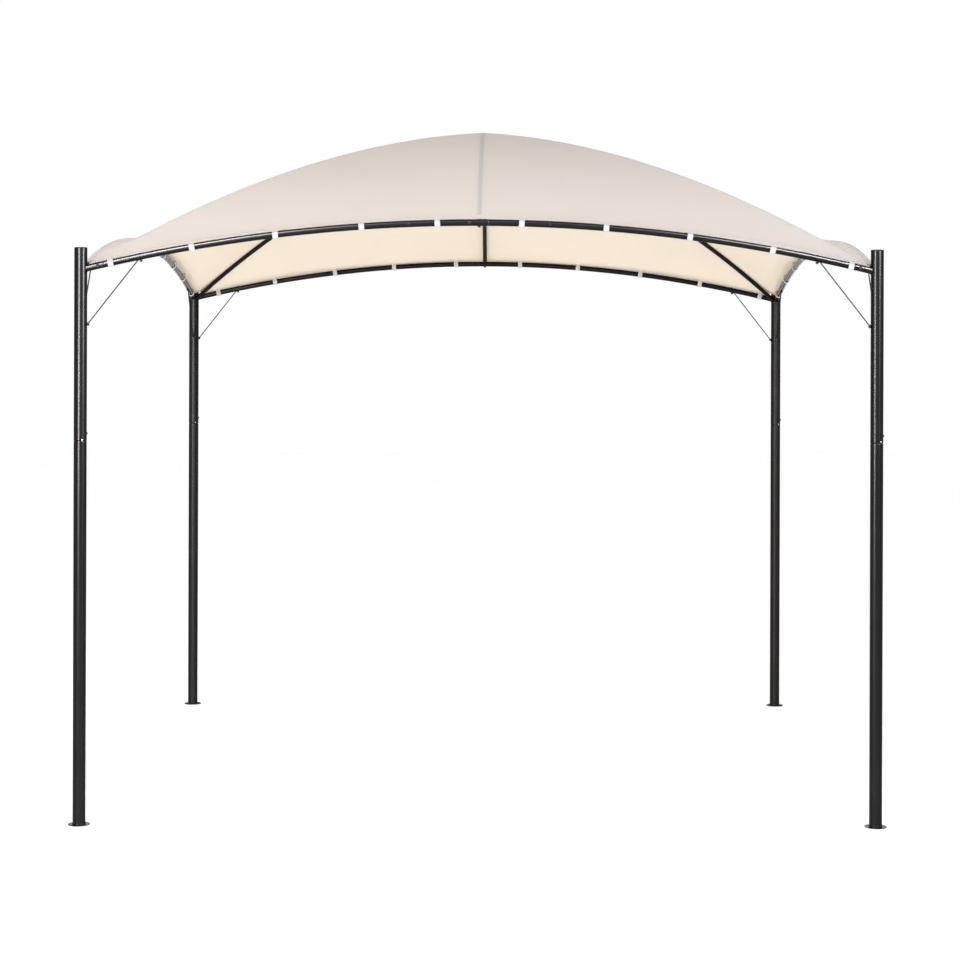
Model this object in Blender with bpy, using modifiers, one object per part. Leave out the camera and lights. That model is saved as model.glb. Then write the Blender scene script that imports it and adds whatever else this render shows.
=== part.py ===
"""Garden gazebo: four round posts, arched side beams, a domed roof frame and a tied-on fabric canopy.

Metres, +Z up. The origin is on the ground in the middle of the plan, and the front faces -Y.
"""

import bpy
import bmesh
import math
import numpy as np
from mathutils import Matrix, Vector

# Plan and heights
HALF_SPAN = 1.475            # from the centre to a post's axis, along X and along Y
POST_HEIGHT = 2.137
POST_SPLIT_HEIGHT = 1.42     # where the upper post sits on the lower one
BEAM_POST_HEIGHT = 2.054     # a beam's axis at the post's axis
BEAM_CROWN_HEIGHT = 2.233    # a beam's axis at its middle
HIP_POST_HEIGHT = 2.042      # a hip rafter's axis at the post's axis
RIB_END_RISE = 0.0017        # a rib's axis over the beam's, so that their tops are level
APEX_HEIGHT = 2.719          # the roof tubes' axes, run on to the centre
APEX_SLOPE = 0.112           # fall of the roof tubes as they leave the centre

# Tubes, plates and fabric
POST_RADIUS = 0.024
BEAM_RADIUS = 0.0125
ROOF_TUBE_RADIUS = 0.0095
PLATE_RADIUS = 0.041
PLATE_THICKNESS = 0.0025
PLATE_HOLE_RADIUS = 0.005
PLATE_HOLE_CIRCLE = 0.032
PLATE_HOLE_TURN = math.radians(20)
CAP_THICKNESS = 0.004
CAP_ROUNDING = 0.0018
FABRIC_THICKNESS = 0.003
FABRIC_LIFT = 0.001          # between a tube's top and the fabric's underside
EDGE_GRIP = 20               # how closely the beam's arch stays at the edge: a power of the way out
TOUCHING_GAP = 0.0003

# Joints along the tubes, as distances from the centre or from a post's axis
BEAM_SEAM_OFFSET = 0.033     # the sleeve joint lies this far to one side of a beam's middle
BEAM_STUB_REACH = 0.085      # a post's welded beam stub, from the post's axis
HIP_STUB_REACH = 0.095       # its stub for the hip rafter
HUB_RADIUS = 0.045
HUB_THICKNESS = 0.022
HUB_STUB_REACH = 0.1

# Stay wires between beams and posts
STAY_RADIUS = 0.00175
STAY_BOLT_RADIUS = 0.003
STAY_BEAM_PLACE = 1.252      # from a beam's middle
STAY_POST_HEIGHT = 1.853
STAY_BOLT_LENGTH = 0.012
STAY_EYE_SHARE = 0.6         # how far along its bolts the wire is held

# Canopy plan: even steps out to the notch that clears the post, the last one halved, then one
# step over the beam
NOTCH_INNER_EDGE = 1.44
CANOPY_STEPS = 9
POST_SIDES = 24
HUB_SIDES = 16
BEAM_BEVEL_RESOLUTION = 4
ROOF_BEVEL_RESOLUTION = 3
STAY_BEVEL_RESOLUTION = 2
STUB_ROOT = 0.01             # where a welded stub starts, inside the post or hub

CORNERS = {
    "front_left": (-1, -1),
    "front_right": (1, -1),
    "back_right": (1, 1),
    "back_left": (-1, 1),
}
# The turn about Z that brings a piece made on the front side to each side
SIDE_TURNS = {
    "front": 0.0,
    "right": math.pi / 2,
    "back": math.pi,
    "left": -math.pi / 2,
}

beam_drop = (BEAM_CROWN_HEIGHT - BEAM_POST_HEIGHT) / HALF_SPAN ** 2
diagonal = HALF_SPAN * math.sqrt(2)


def clear_scene():
    for old in list(bpy.data.objects):
        bpy.data.objects.remove(old, do_unlink=True)


def make_collection(name):
    collection = bpy.data.collections.new(name)
    bpy.context.scene.collection.children.link(collection)
    return collection


def make_material(name, colour, roughness, metallic):
    material = bpy.data.materials.new(name)
    material.use_nodes = True
    shader = material.node_tree.nodes["Principled BSDF"]
    shader.inputs["Base Color"].default_value = (*colour, 1.0)
    shader.inputs["Roughness"].default_value = roughness
    shader.inputs["Metallic"].default_value = metallic
    material.diffuse_color = (*colour, 1.0)
    return material


def add_mesh_object(name, bm, material, collection):
    mesh = bpy.data.meshes.new(name)
    bm.to_mesh(mesh)
    bm.free()
    piece = bpy.data.objects.new(name, mesh)
    collection.objects.link(piece)
    if material:
        mesh.materials.append(material)
    return piece


def shade_round(piece, crease_angle=math.radians(40)):
    piece.data.shade_smooth()
    piece.data.set_sharp_from_angle(angle=crease_angle)


def cylinder(name, radius, bottom, top, centre, sides, material, collection, turn=0.0):
    bm = bmesh.new()
    middle = Vector((centre[0], centre[1], (bottom + top) / 2))
    place = Matrix.Translation(middle) @ Matrix.Rotation(turn, 4, "Z")
    bmesh.ops.create_cone(bm, cap_ends=True, segments=sides, radius1=radius, radius2=radius,
                          depth=top - bottom, matrix=place)
    return add_mesh_object(name, bm, material, collection)


def tube(name, points, radius, resolution, material, collection):
    curve = bpy.data.curves.new(name, "CURVE")
    curve.dimensions = "3D"
    curve.bevel_depth = radius
    curve.bevel_resolution = resolution
    curve.use_fill_caps = True
    curve.twist_mode = "Z_UP"
    spline = curve.splines.new("POLY")
    spline.points.add(len(points) - 1)
    for index, point in enumerate(points):
        spline.points[index].co = (*point, 1.0)
    piece = bpy.data.objects.new(name, curve)
    collection.objects.link(piece)
    if material:
        curve.materials.append(material)
    return piece


def curve_to_mesh(piece, collection):
    """Turn a tube into a mesh object of the same name, with its end caps welded."""
    bpy.context.view_layer.update()
    evaluated = piece.evaluated_get(bpy.context.evaluated_depsgraph_get())
    mesh = bpy.data.meshes.new_from_object(evaluated)
    bm = bmesh.new()
    bm.from_mesh(mesh)
    bmesh.ops.remove_doubles(bm, verts=bm.verts, dist=0.00001)
    bm.to_mesh(mesh)
    bm.free()
    name = piece.name
    meshed = bpy.data.objects.new(name + "_mesh", mesh)
    meshed.matrix_world = piece.matrix_world
    collection.objects.link(meshed)
    bpy.data.objects.remove(piece, do_unlink=True)
    meshed.name = name
    return meshed


def boolean(piece, cutter, operation):
    modifier = piece.modifiers.new(cutter.name, "BOOLEAN")
    modifier.operation = operation
    modifier.object = cutter
    cutter.hide_render = True
    cutter.display_type = "WIRE"


def beam_axis_height(along):
    """Height of a beam's axis at a distance from its middle."""
    return BEAM_CROWN_HEIGHT - beam_drop * along ** 2


def tube_top(axis_height, slope, radius):
    """Height above an inclined tube's axis where the fabric's underside passes."""
    return axis_height + radius * math.sqrt(1 + slope ** 2) + FABRIC_LIFT


def roof_bend(reach, end_axis):
    """Second-order fall of a roof tube from the apex to its end."""
    return (APEX_HEIGHT - APEX_SLOPE * reach - end_axis) / reach ** 2


rib_bend = roof_bend(HALF_SPAN, BEAM_CROWN_HEIGHT + RIB_END_RISE)
hip_bend = roof_bend(diagonal, HIP_POST_HEIGHT)


def roof_axis_height(reach, bend):
    return APEX_HEIGHT - APEX_SLOPE * reach - bend * reach ** 2


def fabric_over(reach, bend):
    slope = APEX_SLOPE + 2 * bend * reach
    return tube_top(roof_axis_height(reach, bend), slope, ROOF_TUBE_RADIUS)


def fabric_over_beam(along):
    return tube_top(beam_axis_height(along), 2 * beam_drop * along, BEAM_RADIUS)


def straight_to_hip(outward, sideways):
    """Fabric pulled straight from a rib to a hip rafter, sideways being the share of the way."""
    over_rib = fabric_over(outward, rib_bend)
    over_hip = fabric_over(outward * math.sqrt(2), hip_bend)
    return over_rib + (over_hip - over_rib) * sideways


def canopy_height(x, y):
    """Underside of the fabric: straight from rib to hip, lifted to the beam's arch at the edge."""
    outward = max(abs(x), abs(y))
    if outward == 0:
        return fabric_over(0.0, rib_bend)
    sideways = min(abs(x), abs(y)) / outward
    arch_lift = fabric_over_beam(sideways * HALF_SPAN) - straight_to_hip(HALF_SPAN, sideways)
    return straight_to_hip(outward, sideways) + arch_lift * (outward / HALF_SPAN) ** EDGE_GRIP


def canopy_stations():
    step = NOTCH_INNER_EDGE / CANOPY_STEPS
    inner = [step * index for index in range(CANOPY_STEPS)]
    return inner + [NOTCH_INNER_EDGE - step / 2, NOTCH_INNER_EDGE, HALF_SPAN]


def stations_between(low, high):
    """The canopy's grid lines inside a stretch, with the stretch's two ends."""
    inner = [place for place in canopy_stations() if low + 0.01 < place < high - 0.01]
    return [low] + inner + [high]


def faceted(height, place, spread=1.0):
    """A height read from straight pieces between grid lines, as the fabric over it is."""
    places = [station * spread for station in canopy_stations()]
    return float(np.interp(place, places, [height(at) for at in places]))


def beam_height(place):
    return faceted(beam_axis_height, place)


def rib_height(place):
    return faceted(lambda at: roof_axis_height(at, rib_bend), place)


def hip_height(place):
    return faceted(lambda at: roof_axis_height(at, hip_bend), place, math.sqrt(2))


def turned(points, turn):
    rotation = Matrix.Rotation(turn, 3, "Z")
    return [rotation @ Vector(point) for point in points]


def make_base_plate(corner, centre, steel, parts, cutters):
    plate = cylinder("base_plate_" + corner, PLATE_RADIUS, 0.0, PLATE_THICKNESS, centre,
                     POST_SIDES, steel, parts)
    mirrored = -CORNERS[corner][0]
    for index in range(4):
        angle = index * math.pi / 2 + PLATE_HOLE_TURN
        place = (centre[0] + mirrored * PLATE_HOLE_CIRCLE * math.cos(angle),
                 centre[1] + PLATE_HOLE_CIRCLE * math.sin(angle))
        hole = cylinder(f"plate_hole_{corner}_{index}", PLATE_HOLE_RADIUS, -PLATE_THICKNESS,
                        2 * PLATE_THICKNESS, place, 12, None, cutters)
        boolean(plate, hole, "DIFFERENCE")
    shade_round(plate)


def make_post(corner, centre, steel, parts, cutters):
    lower_bottom = PLATE_THICKNESS + TOUCHING_GAP
    lower = cylinder("post_lower_" + corner, POST_RADIUS, lower_bottom, POST_SPLIT_HEIGHT,
                     centre, POST_SIDES, steel, parts)
    shade_round(lower)
    upper_top = POST_HEIGHT - CAP_THICKNESS - TOUCHING_GAP
    upper = cylinder("post_upper_" + corner, POST_RADIUS, POST_SPLIT_HEIGHT + TOUCHING_GAP,
                     upper_top, centre, POST_SIDES, steel, parts)
    add_post_stubs(upper, corner, centre, cutters)
    shade_round(upper)


def add_post_stubs(post, corner, centre, cutters):
    """The two beam stubs and the hip rafter's stub, welded to the post's head."""
    x_sign, y_sign = CORNERS[corner]
    near = HALF_SPAN - STUB_ROOT
    far = HALF_SPAN - BEAM_STUB_REACH
    hip_near = diagonal - STUB_ROOT
    hip_far = diagonal - HIP_STUB_REACH
    along_x = [(x_sign * place, centre[1], beam_height(place)) for place in (far, near)]
    along_y = [(centre[0], y_sign * place, beam_height(place)) for place in (far, near)]
    half = math.sqrt(0.5)
    along_hip = [(x_sign * place * half, y_sign * place * half, hip_height(place))
                 for place in (hip_far, hip_near)]
    stubs = (
        ("x", along_x, BEAM_RADIUS, BEAM_BEVEL_RESOLUTION),
        ("y", along_y, BEAM_RADIUS, BEAM_BEVEL_RESOLUTION),
        ("hip", along_hip, ROOF_TUBE_RADIUS, ROOF_BEVEL_RESOLUTION),
    )
    for label, points, radius, resolution in stubs:
        stub = tube(f"stub_{corner}_{label}", points, radius, resolution, None, cutters)
        boolean(post, curve_to_mesh(stub, cutters), "UNION")


def make_post_cap(corner, centre, plastic, parts):
    cap = cylinder("post_cap_" + corner, POST_RADIUS, POST_HEIGHT - CAP_THICKNESS, POST_HEIGHT,
                   centre, POST_SIDES, plastic, parts)
    edge = cap.modifiers.new("rounded_rim", "BEVEL")
    edge.width = CAP_ROUNDING
    edge.segments = 2
    edge.limit_method = "ANGLE"
    shade_round(cap)


def make_beam(side, turn, steel, parts):
    """Two half beams that meet in a sleeve joint beside the middle."""
    end = HALF_SPAN - BEAM_STUB_REACH - TOUCHING_GAP
    seam = BEAM_SEAM_OFFSET
    halves = (
        ("near_half", [-place for place in reversed(stations_between(0.0, end))][:-1] + [0.0, seam]),
        ("far_half", stations_between(seam + TOUCHING_GAP, end)),
    )
    for label, places in halves:
        points = [(place, -HALF_SPAN, beam_height(abs(place))) for place in places]
        tube(f"{side}_beam_{label}", turned(points, turn), BEAM_RADIUS, BEAM_BEVEL_RESOLUTION,
             steel, parts)


def make_rib(side, turn, steel, parts):
    """A roof rib from the hub down to the middle of a beam."""
    start = HUB_STUB_REACH + TOUCHING_GAP
    end = HALF_SPAN - BEAM_RADIUS - 2 * TOUCHING_GAP
    points = [(0.0, -place, rib_height(place)) for place in stations_between(start, end)]
    tube(f"{side}_rib", turned(points, turn), ROOF_TUBE_RADIUS, ROOF_BEVEL_RESOLUTION, steel, parts)


def make_hip_rafter(corner, steel, parts):
    x_sign, y_sign = CORNERS[corner]
    half = math.sqrt(0.5)
    start = (HUB_STUB_REACH + TOUCHING_GAP) * half
    end = (diagonal - HIP_STUB_REACH - TOUCHING_GAP) * half
    points = [(x_sign * place, y_sign * place, hip_height(place / half))
              for place in stations_between(start, end)]
    tube("hip_rafter_" + corner, points, ROOF_TUBE_RADIUS, ROOF_BEVEL_RESOLUTION, steel, parts)


def make_hub(steel, parts, cutters):
    """The plate in the middle of the roof, with a stub for each rib and hip rafter."""
    top = faceted(lambda at: fabric_over(at, rib_bend), HUB_RADIUS) - 2 * FABRIC_LIFT
    hub = cylinder("crown_hub", HUB_RADIUS, top - HUB_THICKNESS, top, (0.0, 0.0), HUB_SIDES,
                   steel, parts, turn=math.pi / HUB_SIDES)
    for index in range(8):
        height = rib_height if index % 2 == 0 else hip_height
        points = [(place, 0.0, height(place)) for place in (STUB_ROOT, HUB_STUB_REACH)]
        stub = tube(f"hub_stub_{index}", turned(points, index * math.pi / 4), ROOF_TUBE_RADIUS,
                    ROOF_BEVEL_RESOLUTION, None, cutters)
        boolean(hub, curve_to_mesh(stub, cutters), "UNION")
    shade_round(hub)


def make_stays(side, turn, metal, parts, cutters):
    """The two wires under a beam, each welded to the bolts that hold its ends."""
    slope = 2 * beam_drop * STAY_BEAM_PLACE
    beam_underside = (beam_height(STAY_BEAM_PLACE) - BEAM_RADIUS * math.sqrt(1 + slope ** 2)
                      - STAY_BOLT_RADIUS * slope - TOUCHING_GAP)
    post_face = HALF_SPAN - POST_RADIUS - TOUCHING_GAP
    upper = (STAY_BEAM_PLACE, beam_underside)
    upper_end = (STAY_BEAM_PLACE, beam_underside - STAY_BOLT_LENGTH)
    upper_eye = (STAY_BEAM_PLACE, beam_underside - STAY_EYE_SHARE * STAY_BOLT_LENGTH)
    lower = (post_face, STAY_POST_HEIGHT)
    lower_end = (post_face - STAY_BOLT_LENGTH, STAY_POST_HEIGHT)
    lower_eye = (post_face - STAY_EYE_SHARE * STAY_BOLT_LENGTH, STAY_POST_HEIGHT)
    for label, sign in (("near", -1), ("far", 1)):
        name = f"{side}_stay_{label}"
        runs = (
            (name, (upper_eye, lower_eye), STAY_RADIUS, parts),
            (name + "_upper_bolt", (upper, upper_end), STAY_BOLT_RADIUS, cutters),
            (name + "_lower_bolt", (lower_end, lower), STAY_BOLT_RADIUS, cutters),
        )
        meshes = []
        for run_name, ends, radius, collection in runs:
            points = [(sign * along, -HALF_SPAN, height) for along, height in ends]
            run = tube(run_name, turned(points, turn), radius, STAY_BEVEL_RESOLUTION,
                       metal, collection)
            meshes.append(curve_to_mesh(run, collection))
        wire, upper_bolt, lower_bolt = meshes
        boolean(wire, upper_bolt, "UNION")
        boolean(wire, lower_bolt, "UNION")


def make_canopy(fabric, parts):
    """One quarter of the roof as a grid lifted to its height, mirrored twice and thickened."""
    stations = canopy_stations()
    count = len(stations) - 1
    bm = bmesh.new()
    bmesh.ops.create_grid(bm, x_segments=count, y_segments=count, size=count / 2)
    for vert in bm.verts:
        column = round(vert.co.x + count / 2)
        row = round(vert.co.y + count / 2)
        x = stations[column]
        y = stations[row]
        vert.co = (x, y, canopy_height(x, y))
    corner = max(bm.faces, key=lambda face: sum(face.calc_center_median()[:2]))
    bmesh.ops.delete(bm, geom=[corner], context="FACES")
    split_along_hips(bm)
    canopy = add_mesh_object("canopy", bm, fabric, parts)
    mirror = canopy.modifiers.new("four_quarters", "MIRROR")
    mirror.use_axis = (True, True, False)
    mirror.merge_threshold = 0.0001
    shell = canopy.modifiers.new("fabric_thickness", "SOLIDIFY")
    shell.thickness = FABRIC_THICKNESS
    shell.offset = 1.0
    shade_round(canopy)


def split_along_hips(bm):
    """Split each square from its inner to its outer corner, so that an edge follows the hip."""
    for face in list(bm.faces):
        ordered = sorted(face.verts, key=lambda vert: vert.co.x + vert.co.y)
        bmesh.utils.face_split(face, ordered[0], ordered[-1])


def build():
    clear_scene()
    parts = make_collection("garden_gazebo")
    cutters = make_collection("cutters")
    steel = make_material("charcoal_coated_steel", (0.032, 0.031, 0.032), 0.42, 0.3)
    plastic = make_material("black_plastic", (0.02, 0.02, 0.02), 0.5, 0.0)
    wire = make_material("dark_wire", (0.05, 0.05, 0.052), 0.38, 0.8)
    fabric = make_material("cream_polyester", (0.83, 0.76, 0.68), 0.85, 0.0)

    for corner, (x_sign, y_sign) in CORNERS.items():
        centre = (x_sign * HALF_SPAN, y_sign * HALF_SPAN)
        make_base_plate(corner, centre, steel, parts, cutters)
        make_post(corner, centre, steel, parts, cutters)
        make_post_cap(corner, centre, plastic, parts)
        make_hip_rafter(corner, steel, parts)
    for side, turn in SIDE_TURNS.items():
        make_beam(side, turn, steel, parts)
        make_rib(side, turn, steel, parts)
        make_stays(side, turn, wire, parts, cutters)
    make_hub(steel, parts, cutters)
    make_canopy(fabric, parts)


build()
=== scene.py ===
"""Garden gazebo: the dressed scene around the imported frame.

Metres, +Z up. The origin is on the ground in the middle of the plan, and the front faces -Y.
"""

import math

import bpy
import numpy as np
from mathutils import Matrix, Vector


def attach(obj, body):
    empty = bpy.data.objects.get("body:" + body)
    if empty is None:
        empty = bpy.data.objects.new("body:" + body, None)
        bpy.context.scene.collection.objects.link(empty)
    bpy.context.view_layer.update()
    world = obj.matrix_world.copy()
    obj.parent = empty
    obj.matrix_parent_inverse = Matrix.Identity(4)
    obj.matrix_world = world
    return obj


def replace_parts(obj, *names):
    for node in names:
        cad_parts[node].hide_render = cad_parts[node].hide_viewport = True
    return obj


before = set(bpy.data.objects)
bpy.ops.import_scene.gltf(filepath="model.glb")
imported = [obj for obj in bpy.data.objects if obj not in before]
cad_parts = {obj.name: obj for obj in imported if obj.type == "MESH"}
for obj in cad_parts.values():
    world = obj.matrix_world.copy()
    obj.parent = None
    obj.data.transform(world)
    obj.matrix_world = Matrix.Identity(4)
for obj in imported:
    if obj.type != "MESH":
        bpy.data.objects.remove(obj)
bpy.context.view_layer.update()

# Plan and heights, as in the part's source
HALF_SPAN = 1.475
POST_HEIGHT = 2.137
POST_SPLIT_HEIGHT = 1.42
BEAM_POST_HEIGHT = 2.054
BEAM_CROWN_HEIGHT = 2.233
HIP_POST_HEIGHT = 2.042
RIB_END_RISE = 0.0017
APEX_HEIGHT = 2.719
APEX_SLOPE = 0.112
POST_RADIUS = 0.024
BEAM_RADIUS = 0.0125
ROOF_TUBE_RADIUS = 0.0095
FABRIC_LIFT = 0.001
EDGE_GRIP = 20
TOUCHING_GAP = 0.0003
BEAM_SEAM_OFFSET = 0.033
BEAM_STUB_REACH = 0.085
HIP_STUB_REACH = 0.095
HUB_STUB_REACH = 0.1
STAY_BEAM_PLACE = 1.252
STAY_POST_HEIGHT = 1.853
NOTCH_INNER_EDGE = 1.44

# Fabric and straps
FABRIC_THICKNESS = 0.001
FABRIC_EDGE = HALF_SPAN - 0.001      # the hem ends on the beam's top
EVEN_STRAPS = (-1.37, -1.07, -0.766, -0.456, -0.157, 0.157, 0.456, 0.766, 1.07, 1.37)
STRAP_PLACES = {
    "front": (-1.364, -1.064, -0.755, -0.436, -0.155, 0.158, 0.471, 0.781, 1.088, 1.378),
    "right": EVEN_STRAPS,
    "back": (-1.392, -1.088, -0.786, -0.47, -0.177, 0.147, 0.461, 0.76, 1.064, 1.35),
    "left": EVEN_STRAPS,
}
STRAP_WIDTH = 0.0205
STRAP_THICKNESS = 0.001
HEM_WIDTH = 0.028
HEM_RISE = 0.0009
SEAM_WIDTH = 0.013
SEAM_RISE = 0.0008
PATCH_RADIUS = 0.055
STITCH_PITCH = 0.0065
STITCH_LENGTH = 0.0046
SAG_BETWEEN_TUBES = 0.0045
ROLL_HEIGHT = 0.012                  # slack that stands up just inside the beams
ROLL_REACH = 0.032
SIDE_LIFT = 0.0075                   # the fabric stands off the two side beams near the corners

# Smooth tubes in place of the solids' few-sided ones
POST_SIDES = 48
TUBE_SIDES = 24
CAP_THICKNESS = 0.004
PLATE_THICKNESS = 0.0025
HUB_RADIUS = 0.045
WIRE_RADIUS = 0.0024

CORNERS = {
    "front_left": (-1, -1),
    "front_right": (1, -1),
    "back_right": (1, 1),
    "back_left": (-1, 1),
}
# The coat of each side's beam
BEAM_COATS = {
    "front": "steel",
    "right": "side_steel",
    "back": "back_steel",
    "left": "side_steel",
}
# The turn about Z that brings a piece made on the front side to each side
SIDE_TURNS = {
    "front": 0.0,
    "right": math.pi / 2,
    "back": math.pi,
    "left": -math.pi / 2,
}

beam_drop = (BEAM_CROWN_HEIGHT - BEAM_POST_HEIGHT) / HALF_SPAN ** 2
diagonal = HALF_SPAN * math.sqrt(2)


def set_up_camera():
    """The photograph's view: level, at head height, in front of the gazebo."""
    data = bpy.data.cameras.new("camera")
    data.sensor_width = 36.0
    data.lens = 80.89
    data.shift_x = -0.0218
    data.shift_y = -0.1082
    data.clip_end = 200.0
    camera = bpy.data.objects.new("camera", data)
    roll = Matrix.Rotation(0.0033, 4, "Z")
    level = Matrix.Rotation(math.pi / 2, 4, "X")
    camera.matrix_world = Matrix.Translation((0.0823, -9.4633, 1.6648)) @ level @ roll
    bpy.context.scene.collection.objects.link(camera)
    bpy.context.scene.camera = camera


def add_softbox(name, position, target, size, radiance, colour=(1.0, 1.0, 1.0), gloss=False):
    """A rectangular light, which either shows in gloss alone or lights matt surfaces alone."""
    data = bpy.data.lights.new(name, "AREA")
    data.shape = "RECTANGLE"
    data.size = size[0]
    data.size_y = size[1]
    data.energy = radiance * math.pi * size[0] * size[1]
    data.color = colour
    light = bpy.data.objects.new(name, data)
    light.visible_camera = False
    light.visible_diffuse = not gloss
    light.visible_glossy = gloss
    toward = Vector(target) - Vector(position)
    light.matrix_world = (Matrix.Translation(position)
                          @ toward.to_track_quat("-Z", "Y").to_matrix().to_4x4())
    bpy.context.scene.collection.objects.link(light)


def set_up_light():
    world = bpy.data.worlds.new("studio")
    world.use_nodes = True
    background = world.node_tree.nodes["Background"]
    background.inputs["Color"].default_value = (1.0, 1.0, 1.0, 1.0)
    background.inputs["Strength"].default_value = 1.0
    bpy.context.scene.world = world
    bpy.context.scene.view_settings.view_transform = "Standard"
    add_softbox("left_strip", (-2.7, -5.5, 2.15), (0.0, 0.0, 2.15), (0.75, 2.1), 124.0,
                (1.0, 0.985, 0.97), gloss=True)
    add_softbox("right_strip", (3.8, -4.2, 3.2), (2.9, -4.64, 3.2), (1.1, 1.8), 275.0,
                (0.97, 0.985, 1.0), gloss=True)
    add_softbox("left_high", (-2.85, -6.35, 6.15), (-1.1, -1.475, 2.15), (1.0, 3.2), 262.0,
                (1.0, 0.97, 0.98), gloss=True)
    add_softbox("right_high", (3.2, -6.0, 6.15), (1.3, -1.475, 2.15), (0.9, 3.2), 250.0,
                (1.0, 0.97, 0.98), gloss=True)
    add_softbox("front_fill", (0.0, -7.0, 2.2), (0.0, 0.0, 2.2), (8.0, 3.0), 3.8)
    add_softbox("left_fill", (-5.0, -4.5, 2.8), (0.0, -0.5, 2.2), (2.5, 2.5), 2.6,
                (1.0, 0.95, 0.90))
    add_softbox("right_fill", (1.7, -3.6, 2.5), (1.15, -1.475, 2.3), (1.2, 1.2), 2.9,
                (0.34, 0.60, 1.0))
    add_softbox("left_side_fill", (-6.0, 0.5, 2.6), (-1.475, -0.8, 2.2), (2.5, 2.5), 6.0,
                (1.0, 0.95, 0.93))
    add_softbox("floor_bounce", (0.0, 0.0, 0.01), (0.0, 0.0, 2.0), (6.0, 6.0), 0.10,
                (1.0, 0.97, 0.92))


def set_up_stage(material):
    """A plain pale floor."""
    half = 40.0
    mesh = bpy.data.meshes.new("floor")
    corners = [(-half, -half, 0), (half, -half, 0), (half, half, 0), (-half, half, 0)]
    mesh.from_pydata(corners, [], [(0, 1, 2, 3)])
    mesh.materials.append(material)
    floor = bpy.data.objects.new("floor", mesh)
    floor.location.z = -0.0005
    bpy.context.scene.collection.objects.link(floor)


class NodeTree:
    """Short calls for building one material's node tree."""

    def __init__(self, name):
        self.material = bpy.data.materials.new(name)
        self.material.use_nodes = True
        self.tree = self.material.node_tree
        self.tree.nodes.clear()
        self.output = self.tree.nodes.new("ShaderNodeOutputMaterial")

    def add(self, kind, settings=None, **inputs):
        node = self.tree.nodes.new(kind)
        for key, value in (settings or {}).items():
            setattr(node, key, value)
        for key, value in inputs.items():
            self.feed(node, key.replace("_", " "), value)
        return node

    def feed(self, node, socket, value):
        entry = node.inputs[int(socket)] if socket.isdigit() else node.inputs[socket]
        if isinstance(value, bpy.types.NodeSocket):
            self.tree.links.new(value, entry)
        else:
            entry.default_value = value

    def place(self):
        return self.add("ShaderNodeTexCoord").outputs["Object"]

    def noise(self, scale, detail=2.0, roughness=0.5, place=None):
        node = self.add("ShaderNodeTexNoise")
        self.feed(node, "Vector", place or self.place())
        self.feed(node, "Scale", scale)
        self.feed(node, "Detail", detail)
        self.feed(node, "Roughness", roughness)
        return node.outputs["Fac"]

    def ramp(self, value, stops):
        node = self.add("ShaderNodeValToRGB")
        self.feed(node, "Fac", value)
        elements = node.color_ramp.elements
        while len(elements) < len(stops):
            elements.new(0.5)
        for element, (position, colour) in zip(elements, stops):
            element.position = position
            element.color = (*colour, 1.0)
        return node.outputs["Color"]

    def spread(self, value, low, high):
        """A texture value of 0 to 1 brought to low to high."""
        node = self.add("ShaderNodeMapRange")
        self.feed(node, "Value", value)
        self.feed(node, "To Min", low)
        self.feed(node, "To Max", high)
        return node.outputs["Result"]

    def bump(self, height, distance, strength=1.0, below=None):
        node = self.add("ShaderNodeBump")
        self.feed(node, "Height", height)
        self.feed(node, "Distance", distance)
        self.feed(node, "Strength", strength)
        if below:
            self.feed(node, "Normal", below)
        return node.outputs["Normal"]

    def math(self, operation, first, second):
        node = self.add("ShaderNodeMath", {"operation": operation})
        self.feed(node, "0", first)
        self.feed(node, "1", second)
        return node.outputs["Value"]

    def multiply(self, first, second):
        node = self.add("ShaderNodeMix", {"data_type": "RGBA", "blend_type": "MULTIPLY"})
        node.inputs["Factor"].default_value = 1.0
        self.feed(node, "6", first)
        self.feed(node, "7", second)
        return node.outputs[2]

    def finish(self, shader):
        self.tree.links.new(shader.outputs[0], self.output.inputs["Surface"])
        return self.material


def powder_coat(name, rough, edge_tint):
    """Charcoal satin powder coating: its roughness, and the share its edges throw back."""
    nodes = NodeTree(name)
    colour = nodes.ramp(nodes.noise(9.0, 4.0), [
        (0.3, (0.0112, 0.0108, 0.0110)),
        (0.7, (0.0136, 0.0131, 0.0133)),
    ])
    roughness = nodes.spread(nodes.noise(15.0, 2.0), rough - 0.006, rough + 0.006)
    peel = nodes.bump(nodes.noise(700.0, 1.0), 0.000003)
    shader = nodes.add("ShaderNodeBsdfPrincipled", Base_Color=colour, Roughness=roughness,
                       Normal=peel)
    shader.inputs["Metallic"].default_value = 0.92
    shader.inputs["Specular Tint"].default_value = (*edge_tint, 1.0)
    return nodes.finish(shader)


def matt_black():
    """The finish of the plastic plugs and of worn paint."""
    nodes = NodeTree("matt_black")
    colour = nodes.ramp(nodes.noise(60.0, 3.0), [
        (0.3, (0.013, 0.013, 0.013)),
        (0.7, (0.019, 0.019, 0.019)),
    ])
    grain = nodes.bump(nodes.noise(1500.0, 2.0), 0.00004)
    roughness = nodes.spread(nodes.noise(200.0), 0.55, 0.65)
    shader = nodes.add("ShaderNodeBsdfPrincipled", Base_Color=colour, Roughness=roughness,
                       Normal=grain)
    shader.inputs["Specular IOR Level"].default_value = 0.12
    return nodes.finish(shader)


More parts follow.
